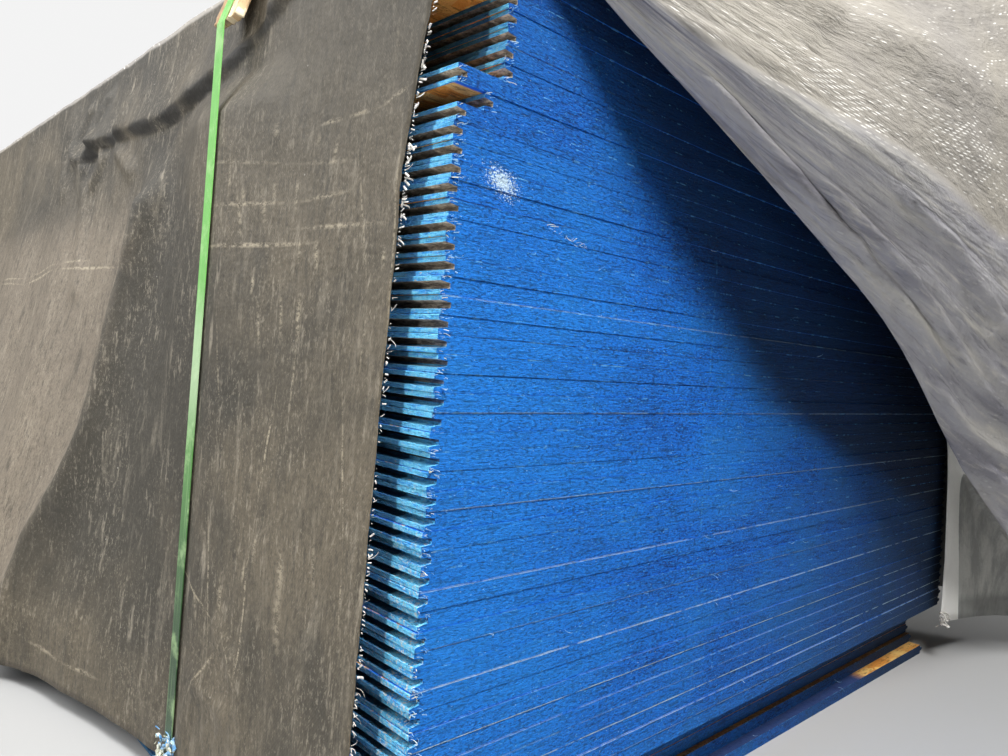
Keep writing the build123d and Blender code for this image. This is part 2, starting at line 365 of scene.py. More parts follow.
# a Coons patch between four border curves
def patch(near, far, start, end, u, v):
    u, v = np.meshgrid(u, v)
    a, b = u[..., None], v[..., None]
    corners = near(0.0) * (1 - a) * (1 - b) + near(1.0) * a * (1 - b) + far(0.0) * (1 - a) * b + far(1.0) * a * b
    return near(u) * (1 - b) + far(u) * b + start(v) * (1 - a) + end(v) * a - corners


def fixed(point):
    return lambda share: np.zeros(np.shape(share) + (3,)) + point


def endPoint(share, forward, level):
    return np.array([cover["half"] * (2 * share - 1), cover["front"] - forward / 1000, cover["top"] * level])


def unit(value):
    return np.clip(value, 0, 1)


def fallAt(z):
    return unit((cover["top"] - z) / (cover["top"] - cover["lowerTop"]))


def leftWall(y, z):
    fall = fallAt(z)
    along = unit((y + cover["flareEnd"]) / (2 * cover["flareEnd"]))
    lobe = np.abs(np.sin(math.pi * along)) ** 1.5 * (1 - 0.45 * along)
    return -cover["half"] - cover["lean"] * fall - cover["flare"] * lobe * fall ** 1.6


def rightWall(z):
    upper, lower, _ = cover["marks"]
    half, bulge, hem = cover["half"], cover["bulge"], cover["hemRight"]
    high = half + bulge * (cover["top"] - z) / (cover["top"] - upper)
    low = half + 0.002 + (bulge - 0.002) * (z - hem) / (lower - hem)
    return np.where(z >= upper, high, np.where(z >= lower, half + bulge, low))


def backWall(z):
    return cover["back"] + cover["leanBack"] * fallAt(z)


def hemLevel(z, share):
    mark = cover["marks"][2]
    hem = cover["hemLeft"] + (cover["hemRight"] - cover["hemLeft"]) * share
    return np.where(z >= mark, z, mark - (mark - z) * (mark - hem) / (mark - cover["hemLeft"]))


def chain(*runs):
    parts = [np.linspace(*run[:2], run[2] + 1) for run in runs]
    return np.concatenate([parts[0]] + [part[1:] for part in parts[1:]])


def stack3(x, y, z):
    return np.stack(np.broadcast_arrays(x, y, z), -1).astype(float)


def noiseAt(x, y, z):
    return noise.noise(Vector((x, y, z)))


def pairs(row):
    return list(zip(row[::2], row[1::2]))


def lineDistance(a, b, line):
    best = np.full(np.shape(a), 9.0)
    for (a0, b0), (a1, b1) in zip(line, line[1:]):
        da, db = a1 - a0, b1 - b0
        share = unit(((a - a0) * da + (b - b0) * db) / (da * da + db * db))
        best = np.minimum(best, np.hypot(a - a0 - share * da, b - b0 - share * db))
    return best


def ridge(a, b, line, height, width):
    return height * np.exp(-(lineDistance(a, b, line) / width) ** 2)


# the long grooved side: (y, z) lines seen in the photograph. A row of the ridges holds its points
# from end to end, then height and width.
sideFolds = {
    "sag": [(-1.02, 0.9), (-0.921, 0.854), (-0.855, 0.832), (-0.781, 0.808), (-0.684, 0.784), (-0.601, 0.777),
            (-0.46, 0.787), (-0.37, 0.786), (-0.25, 0.770)],
    "sagDepth": [(-1.02, 0.004), (-0.915, 0.010), (-0.84, 0.012), (-0.773, 0.013), (-0.6, 0.014), (-0.47, 0.012),
                 (-0.40, 0.009), (-0.34, 0.022), (-0.25, 0.010), (-0.15, 0)],
    "flareRidge": [(-0.612, 0.66), (-0.60, 0.60), (-0.577, 0.53), (-0.556, 0.362), (-0.517, 0.283), (-0.462, 0.206),
                   (-0.442, 0.121), (-0.421, 0.025)],
    "ridges": [
        (-0.799, 0.247, -0.947, 0.191, -0.977, 0.163, 0.004, 0.01), (-0.844, 0.144, -0.965, 0.121, 0.004, 0.012),
        (-0.996, 0.21, -0.979, 0.06, 0.003, 0.012), (-0.84, 0.05, -1, 0.3, 0.003, 0.014),
        (-0.34, 0.86, -0.3, 0.81, -0.36, 0.76, -0.33, 0.72, 0.01, 0.012),
        (-0.24, 0.86, -0.2, 0.8, -0.27, 0.75, 0.009, 0.011),
        (-0.14, 0.87, -0.12, 0.8, -0.17, 0.72, 0.008, 0.013),
        (-0.45, 0.83, -0.42, 0.76, -0.5, 0.72, 0.008, 0.012), (-0.7, 0.8, -0.6, 0.6, 0.004, 0.02),
        (-0.12, 0.86, -0.3, 0.7, -0.36, 0.55, 0.006, 0.02),
    ],
}


# how far the folds of the grooved side stand out from its wall
def sideRelief(y, z):
    above = z - np.interp(y, *np.transpose(sideFolds["sag"]))
    amount = np.interp(y, *np.transpose(sideFolds["sagDepth"]), left=0, right=0)
    over = np.exp(-(np.maximum(above, 0) / 0.045) ** 1.5)
    under = np.exp(-(np.maximum(-above, 0) / 0.0065) ** 2)
    height = amount * np.where(above > 0, over, under)
    fall = fallAt(z)
    fade = unit((0.79 - np.abs(y)) / 0.15)
    height += ridge(y, z, sideFolds["flareRidge"], 0.020, 0.045) * fade
    height += ridge(y, z, sideFolds["flareRidge"], 0.006, 0.012) * fade
    for *places, tall, wide in sideFolds["ridges"]:
        height += ridge(y, z, pairs(places), tall, wide)
    height += 0.010 * fade * fall * (1 + np.sin(y * 21 + 2 * np.sin(z * 5))) * unit((y + 0.45) / 0.2)
    # the cloth swells out to the taut strap, and stays flat under its board
    beside = np.abs(np.abs(y) - cover["strap"])
    press = np.clip(0.0382 * z - 0.0030, 0, 0.03) * np.interp(z, [0.74, 0.79], [1, 0])
    near = 1 - unit((beside - 0.014) / 0.17)
    height = np.maximum(height, press * near ** 2 * (3 - 2 * near))
    room = np.interp(z, [0, 0.12, 0.4, 0.80, 0.84, 0.903], [0.0002, 0.0004, 0.006, 0.014, 0.0008, 0.0004])
    room = np.maximum(room, press)
    limit = room + unit((beside - np.where(z > 0.81, 0.042, 0.014)) / 0.12) ** 1.3 * 0.06
    return np.minimum(height, limit) * unit((cover["top"] - z) / 0.012)


# the opened end: (u, v) lines on the sheet, u across and v down to its fold, and rows as above
endFolds = {
    "crease": [(0, 0.86), (0.165, 0.81), (0.245, 0.72), (0.348, 0.66), (0.445, 0.642), (0.605, 0.598), (1, 0.56)],
    "roll": 0.034,
    "ridges": [
        (0.3, 0.9, 0.5, 0.885, 0.66, 0.87, 0.82, 0.79, 0.007, 0.013),
        (0.18, 0.93, 0.36, 0.945, 0.52, 0.93, 0.005, 0.012), (0.48, 0.77, 0.7, 0.735, 1, 0.63, 0.007, 0.014),
        (0.36, 0.76, 0.52, 0.74, 0.62, 0.7, 0.005, 0.012), (0.7, 0.965, 0.85, 0.92, 1, 0.93, 0.006, 0.012),
        (0.55, 0.965, 0.64, 0.955, 0.75, 0.9, 1, 0.82, 0.007, 0.016),
        (0.62, 0.995, 0.76, 0.945, 1, 0.88, 0.006, 0.013),
        (0.42, 0.86, 0.62, 0.83, 0.85, 0.74, 1, 0.7, 0.005, 0.018), (0.345, 0.92, 0.348, 1, 0.004, 0.01),
        (0.56, 0.8, 0.63, 0.665, 0.004, 0.012), (0.15, 0.81, 0.2, 0.7, 0.004, 0.014),
        (0.29, 0.21, 0.245, 0.555, -0.005, 0.01), (0.05, 0.35, 0.45, 0.3, 0.95, 0.36, 0.01, 0.09),
        (0.3, 0.05, 0.42, 0.5, 0.006, 0.05), (0.62, 0.03, 0.6, 0.5, 0.009, 0.05),
        (0.85, 0.03, 0.78, 0.6, 0.01, 0.06),
    ],
}


def endRelief(u, v):
    crease = np.interp(u, *np.transpose(endFolds["crease"]))
    past = unit((v - crease) / (1 - crease))
    before = unit(v / crease)
    edge = unit(u / 0.3)
    height = endFolds["roll"] * edge * before ** 0.8 * (1 - past ** 1.6)
    for *places, tall, wide in endFolds["ridges"]:
        height += ridge(u, v, pairs(places), tall, wide) * unit(u / 0.2)
    rim = unit(v / 0.04) * unit((1 - v) / 0.02) * unit((1 - u) / 0.05)
    return height * rim


# the sheet in parts: for each one its points, its cloth coordinates and whether it is flipped
def coverGrids():
    c = cover
    front, seam, top, half = c["front"], c["seam"], c["top"], c["half"]
    across = chain((0, c["turnStart"], 56), (c["turnStart"], 1, 32))
    ways = chain((seam, -0.2, 84), (-0.2, c["flareEnd"], 40), (c["flareEnd"], c["back"], 14))
    upper, middle, lower = c["marks"]
    heights = chain((top, upper, 14), (upper, middle, 11), (middle, lower, 62), (lower, c["hemLeft"], 15))
    steps = (seam - chain((seam, c["slit"], 38), (c["slit"], front, 6))) / (seam - front)
    inner = steps[steps <= (seam - c["slit"]) / (seam - front) + 1e-6]
    falls = (top - hemLevel(heights, 1)) / (top - c["hemRight"])
    span = front - seam
    far = hemLevel(heights, 1)[:, None]
    z = heights[:, None]
    behind = backWall(z)
    topX = half * (2 * across - 1)
    grids = {}
    grids["top"] = (stack3(topX, ways[:, None], top), (topX, ways[:, None]), False)
    left = stack3(leftWall(ways, z), ways, z)
    left[:, -1] = stack3(leftWall(behind, z), behind, z)[:, 0]
    right = stack3(rightWall(far), ways, far)
    right[:, -1] = stack3(rightWall(far), behind, far)[:, 0]
    nearX = left[:, -1, :1]
    rear = stack3(nearX + (right[:, -1, :1] - nearX) * across, behind, hemLevel(z, across))
    left[:, :, 0] -= sideRelief(left[..., 1], left[..., 2])
    grids["left"] = (left, (ways, z), False)
    grids["right"] = (right, (ways, z), True)
    grids["rear"] = (rear, (topX, z), False)

    lifted = curveThrough([endPoint(*place) for place in c["lifted"]])
    fold = curveThrough([endPoint(*place) for place in c["fold"]])
    nearTop, farTop, farLow = endPoint(0, 0, 1), lifted(1.0), fold(1.0)
    seamTop = np.array([half, seam, top])
    seamLow = np.array([float(rightWall(c["hemRight"])), seam, c["hemRight"]])
    out = np.array([c["side"], 0, 0])
    toward = np.array([0, span, 0])
    rise = bezier(seamTop, seamTop + out + toward / 2, farTop + out - toward / 3, farTop)
    hem = bezier(seamLow, seamLow + out + toward / 2, farLow + out - toward / 3, farLow)
    crease = bezier(farTop, (farTop + farLow) / 2 + np.array([c["side"], -c["side"], 0]), farLow)

    def seamLine(share):
        return stack3(half * (2 * share - 1), seam, top)

    def seamFall(share):
        level = top - (top - c["hemRight"]) * share
        return stack3(rightWall(level), seam, level)

    def nearLine(share):
        return stack3(-half, seam + span * share, top)

    topFront = patch(seamLine, lifted, nearLine, rise, across, steps)
    grids["topFront"] = (topFront, (topX, seam + span * steps[:, None]), True)
    sideFront = patch(seamFall, crease, rise, hem, falls, steps).transpose(1, 0, 2)
    grids["sideFront"] = (sideFront, (seam + span * steps, z), False)
    slitY = seam + span * inner
    # the cut wanders: it runs towards the corner at the top
    wander = unit((heights - 0.64) / 0.26) ** 1.3 * 0.042 + 0.004 * unit((0.45 - heights) / 0.3)
    rough = np.array([0.0015 * noiseAt(0, 0, level * 90) for level in heights])
    share = unit((seam - slitY) / (seam - c["slit"])) ** 2
    leftFront = stack3(leftWall(slitY, z), slitY - share * (wander + rough)[:, None], z)
    leftFront[:, :, 0] -= sideRelief(leftFront[..., 1], leftFront[..., 2])
    leftFront[0, :, 1] = slitY
    grids["leftFront"] = (leftFront, (slitY, z), True)
    sheet = patch(lifted, fold, fixed(nearTop), crease, across, falls)
    u, v = np.meshgrid(across, falls)
    sheet[..., 1] -= c["billow"] * np.sin(math.pi * u) * np.sin(math.pi * v) + endRelief(u, v)
    grids["sheet"] = (sheet, (1.36 * across, -0.95 * falls[:, None]), True)

    beside = curveThrough([fold(c["turnStart"])] + [endPoint(*place) for place in c["turnEdge"]])
    low = curveThrough([beside(1.0)] + [endPoint(*place) for place in c["turnHem"]] + [farLow])
    turnShare = (across[across >= c["turnStart"] - 1e-6] - c["turnStart"]) / (1 - c["turnStart"])
    downs = np.linspace(0, 1, 30)

    def foldEnd(share):
        return fold(c["turnStart"] + (1 - c["turnStart"]) * share)

    turn = patch(foldEnd, low, beside, fixed(farLow), turnShare, downs)
    bow = np.sin(math.pi * turnShare) * np.sin(math.pi * downs[:, None])
    turn[..., 1] -= 0.006 * bow * np.sin(turnShare * 14 + downs[:, None] * 3)
    grids["turn"] = (turn, (0.5 * turnShare, -0.5 * downs[:, None]), True)
    return grids


# one welded mesh from the grids, with the cloth's own UVs in metres
def weldGrids(name, grids):
    numbers, points, facets, corners, origins = {}, [], [], [], []
    for label, (rows, cloth, flip) in grids.items():
        clothU, clothV = np.broadcast_arrays(*cloth)
        keys = np.round(rows, 5)
        index = np.empty(rows.shape[:2], int)
        for i, j in np.ndindex(index.shape):
            key = tuple(keys[i, j])
            if key not in numbers:
                numbers[key] = len(points)
                points.append(rows[i, j])
            index[i, j] = numbers[key]
        for i, j in np.ndindex(index.shape[0] - 1, index.shape[1] - 1):
            square = [(i, j), (i, j + 1), (i + 1, j + 1), (i + 1, j)]
            facet = []
            for place in (square[::-1] if flip else square):
                if index[place] not in [number for number, _ in facet]:
                    facet.append((index[place], (clothU[place], clothV[place])))
            if len(facet) > 2:
                facets.append([int(number) for number, _ in facet])
                corners += [uv for _, uv in facet]
                origins.append(label)
    mesh = bpy.data.meshes.new(name)
    mesh.from_pydata([tuple(point) for point in points], [], facets)
    layer = mesh.uv_layers.new(name="cloth")
    layer.data.foreach_set("uv", np.array(corners, np.float32).ravel())
    return placed(name, mesh), origins


# small crumples: outwards only where the cloth lies on the stack
def crumple(made):
    mesh = made.data
    count = len(mesh.vertices)
    co = np.zeros(count * 3)
    normals = np.zeros(count * 3)
    mesh.vertices.foreach_get("co", co)
    mesh.vertices.foreach_get("normal", normals)
    co, normals = co.reshape(-1, 3), normals.reshape(-1, 3)
    move = np.zeros(count)
    for i, (x, y, z) in enumerate(co):
        slow = noiseAt(x * 2.3, y * 2.3, z * 1.6 + 5)
        crease = max(0, 1 - abs(noiseAt(x * 7 + slow, y * 7, z * 4 + 2 * slow) * 2))
        fine = max(0, 1 - abs(noiseAt(x * 19, y * 19 + slow, z * 13) * 2))
        move[i] = 0.0016 * (1 + slow) + 0.0022 * crease ** 3 * (0.6 + slow) + 0.0009 * fine ** 2
    beside = np.abs(np.abs(co[:, 1]) - cover["strap"])
    held = unit((beside - np.where(co[:, 2] > 0.81, 0.04, 0.012)) / 0.03)
    co += normals * (np.maximum(move, 0.0002) * held + 0.0001)[:, None]
    mesh.vertices.foreach_set("co", co.ravel())
    mesh.update()


def makeCover():
    made, origins = weldGrids("wovenCover", coverGrids())
    crumple(made)
    hidden = made.vertex_groups.new(name="hidden")
    numbers = set()
    for polygon, label in zip(made.data.polygons, origins):
        if label in ("right", "rear", "top", "sideFront"):
            numbers.update(polygon.vertices)
    hidden.add(list(numbers), 1.0, "REPLACE")
    # most of the thinning falls to the parts that the photo doesn't show
    thin = made.modifiers.new("thin", "DECIMATE")
    thin.ratio = cover["triangles"] / (2 * len(made.data.polygons))
    thin.vertex_group = "hidden"
    thin.vertex_group_factor = 10
    applied(made)
    made.data.shade_smooth()
    shell = made.modifiers.new("shell", "SOLIDIFY")
    shell.thickness = cover["thickness"]
    shell.offset = 1
    shell.material_offset = 1
    return made


# some of these tones are painted light and shade: the lit flare, the sag fold's shadow, the fold ridges and hollows,
# the crinkles and the turned sheet's foot
coverColours = tones(
    side=(103, 94, 78), sideDark=(62, 58, 49), sidePale=(140, 128, 112), end=(167, 161, 150),
    endShade=(154, 149, 143), endLow=(164, 163, 168), dust=(176, 166, 148), thread=(214, 209, 199),
    inside=(120, 120, 118), insideDark=(98, 98, 98), grit=(44, 41, 35), sag=(24, 22, 19),
    scratch=(190, 178, 154), foldPale=(190, 186, 178), foldDark=(106, 105, 116), rubPale=(206, 201, 190),
    rubDark=(92, 91, 98), wrinkle=(110, 107, 108), turnDark=(146, 147, 144), turnPale=(194, 194, 188),
    turnFoot=(88, 92, 91), scrim=(252, 249, 242), border=(246, 244, 238),
)
# scratches on the grooved side, in millimetres: y and z from point to point, then width and strength
sideScratches = [
    (-797, 688, -988, 666, -1115, 653, 2.2, 0.3), (-819, 636, -996, 627, -1104, 628, 2.6, 0.45),
    (-986, 601, -1167, 594, 2.4, 0.45), (-789, 591, -1056, 584, 2.6, 0.55),
    (-1021, 700, -1075, 697, -1131, 697, -1172, 709, 2.4, 0.65), (-892, 651, -910, 585, 2.8, 0.35),
    (-955, 655, -959, 618, 3, 0.3), (-1010, 591, -1012, 560, 2.6, 0.35), (-984, 541, -994, 487, 3.4, 0.35),
    (-1145, 788, -1143, 719, 2, 0.25), (-996, 453, -979, 316, -977, 116, 1.4, 0.55),
    (-884, 339, -914, 151, 1.4, 0.35), (-1095, 683, -1139, 530, -1137, 463, 1.2, 0.3),
    (-1112, 461, -1139, 314, -1143, 251, 1.6, 0.4), (-799, 247, -947, 191, -977, 163, 1.6, 0.45),
    (-860, 100, -960, 210, 1.4, 0.4), (201, 569, -48, 562, -252, 584, -528, 579, 2.2, 0.75),
    (201, 577, -48, 573, -252, 594, -400, 594, 1.8, 0.6), (-492, 67, -570, 60, -663, 63, 3, 0.4),
    (-951, 711, -952, 697, 4.4, 0.4), (-1025, 690, -1028, 671, 4, 0.4), (-1063, 683, -1058, 658, 4.2, 0.4),
    (-935, 646, -947, 604, 4.4, 0.45), (-904, 648, -907, 630, 3.4, 0.35), (-876, 679, -879, 638, 2.6, 0.35),
    (-993, 650, -996, 618, 3.6, 0.45), (-1042, 588, -1047, 558, 4.6, 0.45), (-935, 563, -933, 535, 3, 0.45),
    (-944, 537, -959, 470, 2.2, 0.3), (-1020, 540, -1024, 490, 5, 0.42), (-1022, 495, -1025, 421, 2, 0.35),
    (-870, 530, -896, 407, 1.6, 0.35), (-1154, 574, -1156, 558, 3.4, 0.4), (-1163, 708, -1172, 473, 1.4, 0.35),
    (-987, 304, -991, 279, 5, 0.42), (-971, 275, -973, 256, 3.6, 0.42), (-1035, 300, -1042, 265, 7, 0.34),
    (-925, 246, -929, 212, 3.4, 0.38), (-1039, 266, -1047, 212, 7.5, 0.32), (-870, 228, -880, 190, 3, 0.35),
    (-1090, 330, -1098, 270, 3.6, 0.25),
]


# a soft stroke on the grooved side, between two (y, z) places
def sideStroke(f, start, end, width, lower=0):
    places = [(float(leftWall(y, z)), y, z - lower) for y, z in (start, end)]
    return f.stroke(*places, width, (1, 0, 0))


def scratches(f):
    total = 0
    for *places, width, strength in sideScratches:
        line = [(y / 1000, z / 1000) for y, z in pairs(places)]
        for start, end in zip(line, line[1:]):
            total = sideStroke(f, start, end, max(width * 0.0013, 0.0021)) * (strength * 2.3) + total
    return f.call("MINIMUM", total, 1)


# the tapes' widths, and the scrim: rows of short white dashes, most of all above the crease
clothWeave = {
    "tapes": (0.0032, 0.0036),
    "turn": (0.906, 0.423),
    "row": 0.0072,
    "dash": 0.0150,
    "clusters": ((0.37, -0.61, 0), (0.58, -0.48, 0)),
    "reach": 0.15,
}


def scrimShare(f, u, v, flat):
    w = clothWeave
    cosine, sine = w["turn"]
    across, down = u * cosine + v * sine, v * cosine - u * sine
    level = down / w["row"]
    row = f.call("FLOOR", level)
    step = across / w["dash"] + row * 0.37
    dash = f.near(f.call("FRACT", step) - 0.5, 0, 0.42) * f.near(f.call("FRACT", level) - 0.5, 0, 0.26)
    cell = f.pack(f.call("FLOOR", step), row, 0)
    chance = f.node("ShaderNodeTexWhiteNoise", {"noise_dimensions": "2D"}, {"Vector": cell}, "Value")
    shown = f.cloud(flat, 14, 4, 0.6)
    for centre in w["clusters"]:
        away = f.node("ShaderNodeVectorMath", {"operation": "DISTANCE"}, {0: flat, 1: centre}, "Value")
        shown = shown + f.span(away, w["reach"], 0.02) * 0.3
    return dash * f.span(chance * 0.55 + shown, 0.94, 1.16)


# the grooved and the tongued side: dark, dusty and scratched
def sideColour(f, grime, patches, fineStreak):
    c = coverColours
    ridgeY = f.chart(f.z, [(0.03, 0.421), (0.2, 0.462), (0.36, 0.556), (0.62, 0.61), (0.75, 0.50)])
    beyond = f.y + ridgeY
    left = f.x < 0
    # painted light on the flare past its ridge, and painted shade between the ridge and the strap
    pale = f.span(beyond + (patches - 0.5) * 0.09, -0.020, 0.040) * f.span(f.z, 0.72, 0.60) * left
    dark = f.span(beyond, -0.20, -0.05) * f.span(beyond + (patches - 0.5) * 0.06, 0.020, -0.012)
    dark = dark * f.span(f.z, 0.12, 0.3) * f.span(f.z, 0.62, 0.5) * left
    streak = f.cloud(f.drawn(34, 7), 1, 4, 0.7, 0.6)
    spindle = f.span(f.cells(f.drawn(30, 7.5)), 0.22, 0.08) * f.span(f.cloud(f.place, 4, 2), 0.46, 0.62)
    scratch = scratches(f) * f.span(f.cloud(f.drawn(90, 160), 1, 3, 0.85), 0.42, 0.58)
    dusty = f.span(patches, 0.56, 0.72) * f.span(f.cloud(f.place, 60, 3, 0.7), 0.45, 0.65)
    grit = f.cloud(f.drawn(280, 190), 1, 2, 0.85)
    speck = f.span(f.cells(f.place, 34), 0.045, 0.02) * f.span(patches, 0.5, 0.6)
    # a painted shadow under the overhang of the sag fold
    sag = 0
    for start, end in zip(sideFolds["sag"][1:-1], sideFolds["sag"][2:]):
        sag = f.call("MAXIMUM", sag, sideStroke(f, start, end, 0.014, 0.004))
    return f.coats(
        f.blend(f.span(grime, 0.36, 0.62), c["side"], c["sideDark"]),
        # the painted light and painted shade of the flare
        (pale * 0.72, c["sidePale"]),
        (dark * 0.45, c["sideDark"]),
        (f.span(streak, 0.54, 0.74) * 0.30, c["dust"]),
        (f.span(streak, 0.46, 0.28) * 0.6, c["sideDark"]),
        (spindle * f.span(fineStreak, 0.34, 0.54) * 0.6, c["dust"]),
        (f.span(fineStreak, 0.55, 0.68) * f.span(patches, 0.34, 0.56) * 0.42, c["dust"]),
        (f.span(fineStreak, 0.47, 0.34) * 0.55, c["sideDark"]),
        (dusty * 0.25, c["dust"]),
        (f.span(grit, 0.56, 0.66) * (0.12 + f.span(patches, 0.4, 0.6) * 0.2), c["dust"]),
        (f.span(grit, 0.46, 0.36) * 0.35, c["grit"]),
        # the painted shadow under the sag fold
        (f.span(sag, 0.05, 0.6) * 0.85, c["sag"]),
        (scratch * 0.8, c["scratch"]),
        # painted shade: the upper side past the strap is darker
        (f.span(f.z, 0.50, 0.80) * f.span(f.y, -0.84, -0.95) * 0.62, c["sideDark"]),
        (speck * 0.8, c["thread"]),
    )


def coverFinish(inside):
    f = Finish("cover inside" if inside else "woven cover")
    c = coverColours
    u, v, _ = f.split(f.node("ShaderNodeUVMap", {"uv_map": "cloth"}))
    flat = f.pack(u, v, 0)
    grime = f.cloud(f.place, 2.6, 4, 0.6, 0.3)
    patches = f.cloud(f.place, 9, 4, 0.65)
    # the weave: flat tapes over and under
    tapeU, tapeV = [f.call("SINE", a * (2 * math.pi / wide)) for a, wide in zip((u, v), clothWeave["tapes"])]
    weave = tapeU * tapeV * 0.5 + tapeU * 0.25
    if inside:
        colour = f.blend(f.span(grime, 0.35, 0.65), c["inside"], c["insideDark"])
        return f.finish(colour, 0.5, weave, 0.0004, 0.5)
    scrim = scrimShare(f, u, v, flat)
    fineStreak = f.cloud(f.drawn(120, 30), 1, 3, 0.8)
    side = sideColour(f, grime, patches, fineStreak)

    # the top and both ends are lighter, and duller below the crease of the hanging sheet
    creaseV = f.chart(u / 2, [(place * 0.68, level) for place, level in endFolds["crease"]])
    below = f.span(v / -0.95 - creaseV + (grime - 0.5) * 0.1, -0.012, 0.03)
    below = below * f.span(f.y, cover["front"], -1.228) * f.span(f.z, 1.2, 1.1)
    # folds and rub marks run along the band, soft crinkles lie above it; painted light on the folds' ridges, painted
    # shade in their hollows and in the crinkles
    along, athwart = u * 0.96 + v * 0.28, v * 0.96 - u * 0.28
    fold = f.cloud(f.pack(along * 3, athwart * 17, 0), 1, 3, 0.5, 0.2)
    rub = f.cloud(f.pack(along * 9, athwart * 60, 0), 1, 4, 0.7, 0.2)
    wrinkle = f.cloud(flat, 22, 4, 0.6, 0.3)
    # the turned sheet has a white border beside the stack
    turned = f.span(f.x, 0.52, 0.54) * f.span(f.z, 0.42, 0.40)
    turned = turned * (f.y + f.x * 0.25 < -1.078) * f.span(f.y, -1.36, -1.34)
    mottle = f.span(f.cloud(f.drawn(26, 9), 1, 5, 0.7), 0.38, 0.64)
    turnTone = f.blend(mottle, c["turnDark"], c["turnPale"])
    # painted shade on the bottom fold of the turned sheet
    turnTone = f.blend(f.span(f.z + f.x * 0.05, 0.150, 0.130) * 0.6, turnTone, c["turnFoot"])
    border = f.span(f.x + (patches - 0.5) * 0.01, 0.607, 0.605) * f.span(f.x, 0.53, 0.54)
    border = border * f.span(f.z, 0.41, 0.40) * f.span(f.y, -1.30, -1.29) * (f.y < -1.0)
    ends = f.coats(
        f.blend(f.span(grime, 0.35, 0.65), c["end"], c["endShade"]),
        (below * 0.8, c["endLow"]),
        # painted light on the fold ridges, painted shade in their hollows
        (f.span(fold, 0.50, 0.66) * below * 0.75, c["foldPale"]),
        (f.span(fold, 0.48, 0.34) * below * 0.65, c["foldDark"]),
        (f.span(rub, 0.52, 0.70) * (0.12 + below * 0.4), c["rubPale"]),
        (f.span(rub, 0.48, 0.32) * (0.08 + below * 0.45), c["rubDark"]),
        # painted shade in the crinkles
        (f.span(wrinkle, 0.46, 0.34) * 0.16, c["wrinkle"]),
        (turned * 0.85, turnTone),
        (scrim * (1 - below * 0.8) * (1 - turned), c["scrim"]),
        (border * 0.9, c["border"]),
    )
    end = f.span(f.y, -1.2212, -1.2240)
    atTop = f.span(f.z + (patches - 0.5) * 0.012, 0.896, 0.902)
    behind = f.span(f.y, 1.2200, 1.2225)
    share = f.call("MAXIMUM", f.call("MAXIMUM", end, atTop), behind)
    rough = 0.56 + patches * 0.2
    height = weave * 0.10 + f.cloud(f.place, 38, 3, 0.65) * 2.6 + fineStreak * 0.5
    folded = height + (fold * below * 18 + rub * 1.6 + wrinkle * 6) * (1 - turned * 0.7)
    sideShader = f.shader(side, rough, height, 0.0010, 0.8)
    endShader = f.shader(ends, rough, folded, 0.0010, 0.8)
    return f.close(f.layered(share, sideShader, endShader))


wovenCover = makeCover()
wovenCover.data.materials.append(coverFinish(False))
wovenCover.data.materials.append(coverFinish(True))
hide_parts("cover")
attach(wovenCover, "root")
report("cover")

# Panels: the solids carry their finish
panel = {
    "pitch": 0.0153,
    "thickness": 0.0151,
    "halfWidth": 0.608,
    "halfLength": 1.219,
    "count": 59,
    "groove": (0.0042, 0.0109),
    "endFace": -1.2196,          # just before the panels' near ends
    "paleJoints": {
        7: 0.5, 8: 0.85, 9: 1.0, 10: 0.15, 11: 0.35, 12: 1.0, 13: 0.15, 15: 0.75, 17: 0.2, 20: 0.5, 24: 0.4,
        29: 0.3, 35: 0.25,
    },
    # the edge of the painted shadow under the sheet, by height
    "keptBound": [
        (0.24, 0.99), (0.34, 0.74), (0.46, 0.41), (0.57, 0.29), (0.66, 0.21), (0.775, 0.13), (0.80, 0.07), (0.90, 0),
    ],
    "darkJoints": {26: 0.3, 31: 0.5, 33: 0.6, 37: 0.3, 40: 0.8, 42: 0.4, 44: 0.4, 49: 1.0},
    "scuff": ((-0.566, -1.219, 0.639), (-0.540, -1.219, 0.631)),
    "dashes": ((-0.2195, 0.14, 0.62), (-0.569, 0.37, 0.46)),  # x, from and to z
    # how far a layer has slipped, along x and y
    "shifts": {
        1: (-0.008, 0.027), 2: (-0.018, 0.040), 46: (0.030, 0),
        **dict.fromkeys(range(3, 7), (-0.018, 0.048)), **dict.fromkeys(range(48, 53), (0.048, 0)),
    },
}
# some of these tones are painted shade and light: the low right falloff, the shadow under the sheet, the cut edge's
# shadow on the long edges, the low groove cores and the second panel's top; the wood tones are raised as painted light
panelColours = tones(
    paint=(12, 108, 220), deepPaint=(4, 58, 122), lightPaint=(36, 146, 240), lipPaint=(112, 212, 255),
    lipDeep=(50, 154, 236), lipPale=(150, 214, 240), lipWorn=(214, 220, 218), lipDark=(10, 60, 112),
    lipInner=(12, 56, 108), flake=(226, 200, 150), strandShade=(2, 40, 88), chip=(104, 190, 240),
    fleck=(190, 226, 245), grime=(30, 48, 68), kept=(3, 18, 38), high=(2, 54, 112), gap=(6, 46, 100),
    hint=(110, 186, 240), jointPale=(204, 228, 232), jointDark=(4, 26, 64), scuff=(212, 236, 250),
    dash=(70, 150, 215), coreDark=(140, 131, 120), corePale=(232, 222, 206), coreInner=(60, 56, 52),
    lowInner=(12, 28, 52), lowOuter=(22, 76, 136), fibreDark=(52, 48, 40), fibrePale=(140, 120, 92),
    woodDark=(236, 160, 74), woodPale=(255, 214, 132), woodGrain=(120, 70, 32), lowest=(12, 62, 122),
)


# how much each joint line shows, by its number
def jointChart(f, joint, marks):
    stops = [(0, 0)]
    for number in range(1, panel["count"] + 1):
        tone = marks.get(number, 0)
        if tone != stops[-1][1]:
            stops.append(((number - 0.5) / 64, tone))
    return f.chart(joint / 64, stops, "CONSTANT")
